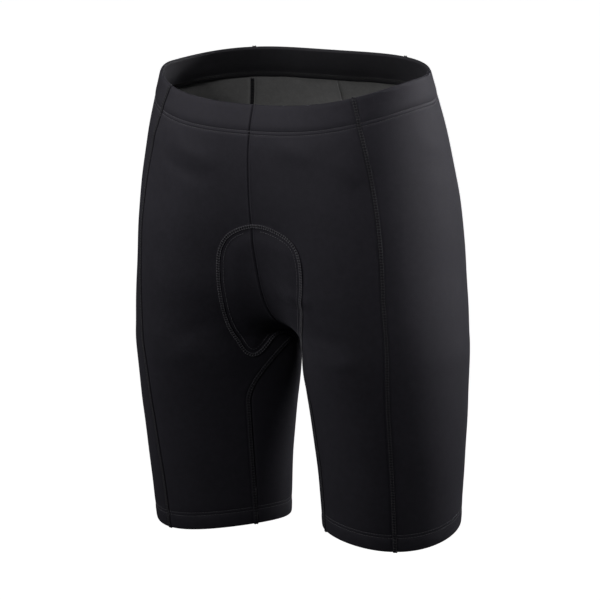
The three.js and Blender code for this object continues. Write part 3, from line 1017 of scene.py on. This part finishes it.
def fold_stitches(rings, rows, relief):
    """Needle rows round the outside of a fold, and the looper threads between them inside it."""
    needles, inner = [], []
    for (ring, normal), row in zip(rings, rows):
        lift = float(relief(np.array(row))) + NEEDLE_LIFT
        closed, out = (np.concatenate([part, part[:1]]) for part in (ring, normal))
        place, out, _, run = along(closed + out * lift, out, NEEDLE_PITCH)
        dash = run * NEEDLE_PITCH * 0.41
        needles.append(capsules(place - dash, place + dash, out, NEEDLE_RADIUS))
        inner.append(along(ring - normal * (LINING_DEPTH + 0.2 - PRESSED), normal, NEEDLE_PITCH))
    (near, out, _, _), (far, _, _, _) = inner
    count = min(len(near), len(far)) - 1
    ends = ((near[:count], far[:count]), (far[:count], near[1:count + 1]))
    return needles, [capsules(start, end, -out[:count], LOOPER_RADIUS) for start, end in ends]


def build_pad_stitches():
    """The pad's flatlock outline and a row of stitches inside it, left open at the centre seam."""
    outline = resample(pad_outline(), 1.3)
    normal = form_normal(outline)
    worn = [worn_relief(mirrored(outline, half), half, WELL_AWAY, WELL_AWAY) for half in SIDES]
    outline = outline + normal * np.where(outline[:, 0] > 0, *worn)[:, None]
    seam = flatlock("pad_outline_seam", outline, normal, THREAD, bed=0.6, pitch=2.7, radius=0.36)
    run = unit(np.gradient(outline, axis=0))
    inner = outline - unit(np.cross(normal, run)) * SECOND_ROW
    keep = abs(outline[:, 0]) > SECOND_ROW + SECOND_ROW_GAP
    rows = []
    for sign in SIDES.values():
        for behind in (False, True):
            part = keep & (outline[:, 0] * sign > 0) & ((outline[:, 1] > 0) == behind)
            out = normal[part]
            place, up, _, run = along(inner[part] + out * 0.25, out, SECOND_ROW_PITCH)
            rows.append((*capsules(place - run * 1.1, place + run * 1.1, up, 0.3), 0))
    return [seam, sewn("pad_second_row", rows, [THREAD])]


def build_sewing():
    rings = [waist_ring(row, 500) for row in NEEDLE_ROWS]
    needles, loopers = fold_stitches(rings, NEEDLE_ROWS, band_relief)
    made = {"waistband": [
        sewn("band_needle_rows", [(*part, 0) for part in needles], [THREAD]),
        sewn("band_looper_rows", [(*part, 0) for part in loopers], [INNER_THREAD]),
    ]}
    for half in SIDES:
        rings = [hem_ring(row, half, 700) for row in HEM_NEEDLE_ROWS]
        needles, loopers = fold_stitches(rings, HEM_NEEDLE_ROWS, hem_relief)
        parts = [(*part, 0) for part in needles] + [(*part, 1) for part in loopers]
        made[f"hem_{half}"] = [sewn(f"hem_{half}_stitches", parts, [THREAD, INNER_THREAD])]
        made[f"knit_{half}"] = build_seams(half)
    made["pad"] = build_pad_stitches()
    return made


# ---------------------------------------------------------------- stage

def away_to(azimuth, elevation):
    """Direction from the shorts: azimuth 0 is in front and 90 at the wearer's left."""
    turn, rise = math.radians(azimuth), math.radians(elevation)
    return Vector((math.sin(turn) * math.cos(rise), -math.cos(turn) * math.cos(rise), math.sin(rise)))


def area_light(name, azimuth, elevation, distance, width, height, power, spread, aim):
    light = bpy.data.lights.new(name, "AREA")
    light.shape = "RECTANGLE"
    light.size, light.size_y = width, height
    light.energy = power
    light.spread = math.radians(spread)
    away = away_to(azimuth, elevation)
    made = bpy.data.objects.new(name, light)
    made.location = Vector((0, 0, aim)) + away * distance
    made.rotation_mode = "QUATERNION"
    made.rotation_quaternion = (-away).to_track_quat("-Z", "Y")
    bpy.context.scene.collection.objects.link(made)


# Soft lights: name, azimuth, elevation, distance, width, height, power in watts, spread and the
# height each is aimed at, in degrees and metres
LIGHTS = (
    ("key_light", -66, 34, 2.2, 0.9, 0.35, 0.85, 34, -0.12),
    ("rim_light", 138, 20, 2.0, 0.6, 0.4, 1.4, 34, -0.14),
    ("front_light", -8, 28, 2.4, 0.8, 0.35, 0.8, 34, -0.14),
    ("side_light", 100, 8, 2.4, 0.5, 0.7, 0.36, 40, -0.42),
    ("top_light", 95, 55, 1.8, 0.5, 0.5, 1.1, 60, 0.04),
)


def build_stage():
    scene = bpy.context.scene
    scene.view_settings.view_transform = "Standard"
    scene.view_settings.look = "None"
    reach, level = 30.0, CAD_BOX[0].z - 0.35
    corners = [(x * reach, y * reach, level) for x, y in ((-1, -1), (1, -1), (1, 1), (-1, 1))]
    floor_mesh = bpy.data.meshes.new("floor")
    floor_mesh.from_pydata(corners, [], [(0, 1, 2, 3)])
    floor = bpy.data.objects.new("floor", floor_mesh)
    scene.collection.objects.link(floor)
    pale, _, _, shader = new_material("floor")
    fill(shader, {
        "Base Color": (0.8, 0.8, 0.8, 1), "Roughness": 1,
        "Emission Color": (1, 1, 1, 1), "Emission Strength": 1.0,
    })
    floor_mesh.materials.append(pale)
    floor.visible_diffuse = False
    floor.visible_glossy = False

    # The camera sees white round the shorts, which themselves get hardly any light from it
    world = bpy.data.worlds.new("studio")
    scene.world = world
    world.use_nodes = True
    nodes, links = world.node_tree.nodes, world.node_tree.links
    nodes.clear()
    seen, cast = nodes.new("ShaderNodeBackground"), nodes.new("ShaderNodeBackground")
    fill(seen, {"Color": (1, 1, 1, 1), "Strength": 1.0})
    fill(cast, {"Color": (0.9, 0.92, 1, 1), "Strength": 0.02})
    rays, choice = nodes.new("ShaderNodeLightPath"), nodes.new("ShaderNodeMixShader")
    links.new(rays.outputs["Is Camera Ray"], choice.inputs[0])
    links.new(cast.outputs[0], choice.inputs[1])
    links.new(seen.outputs[0], choice.inputs[2])
    links.new(choice.outputs[0], nodes.new("ShaderNodeOutputWorld").inputs[0])
    for row in LIGHTS:
        area_light(*row)


def build_camera():
    """The photo's camera, fitted to the outline of the shorts."""
    back, roll = away_to(30.6, 11.3), math.radians(-1.48)
    distance, pivot = 6.17, Vector((0, 0, -0.23))
    shift_left, shift_down = 0.0012, 0.0036
    data = bpy.data.cameras.new("camera")
    data.lens = 370.9
    data.sensor_width = 36
    data.clip_end = 100
    camera = bpy.data.objects.new("camera", data)
    turn = (-back).to_track_quat("-Z", "Y").to_matrix() @ Matrix.Rotation(roll, 3, "Z")
    camera.rotation_mode = "QUATERNION"
    camera.rotation_quaternion = turn.to_quaternion()
    camera.location = pivot + back * distance - turn.col[0] * shift_left - turn.col[1] * shift_down
    bpy.context.scene.collection.objects.link(camera)
    bpy.context.scene.camera = camera


build_camera()
build_stage()
panels = build_panels()
linings = build_linings()
pad = build_pad()
sewing = build_sewing()
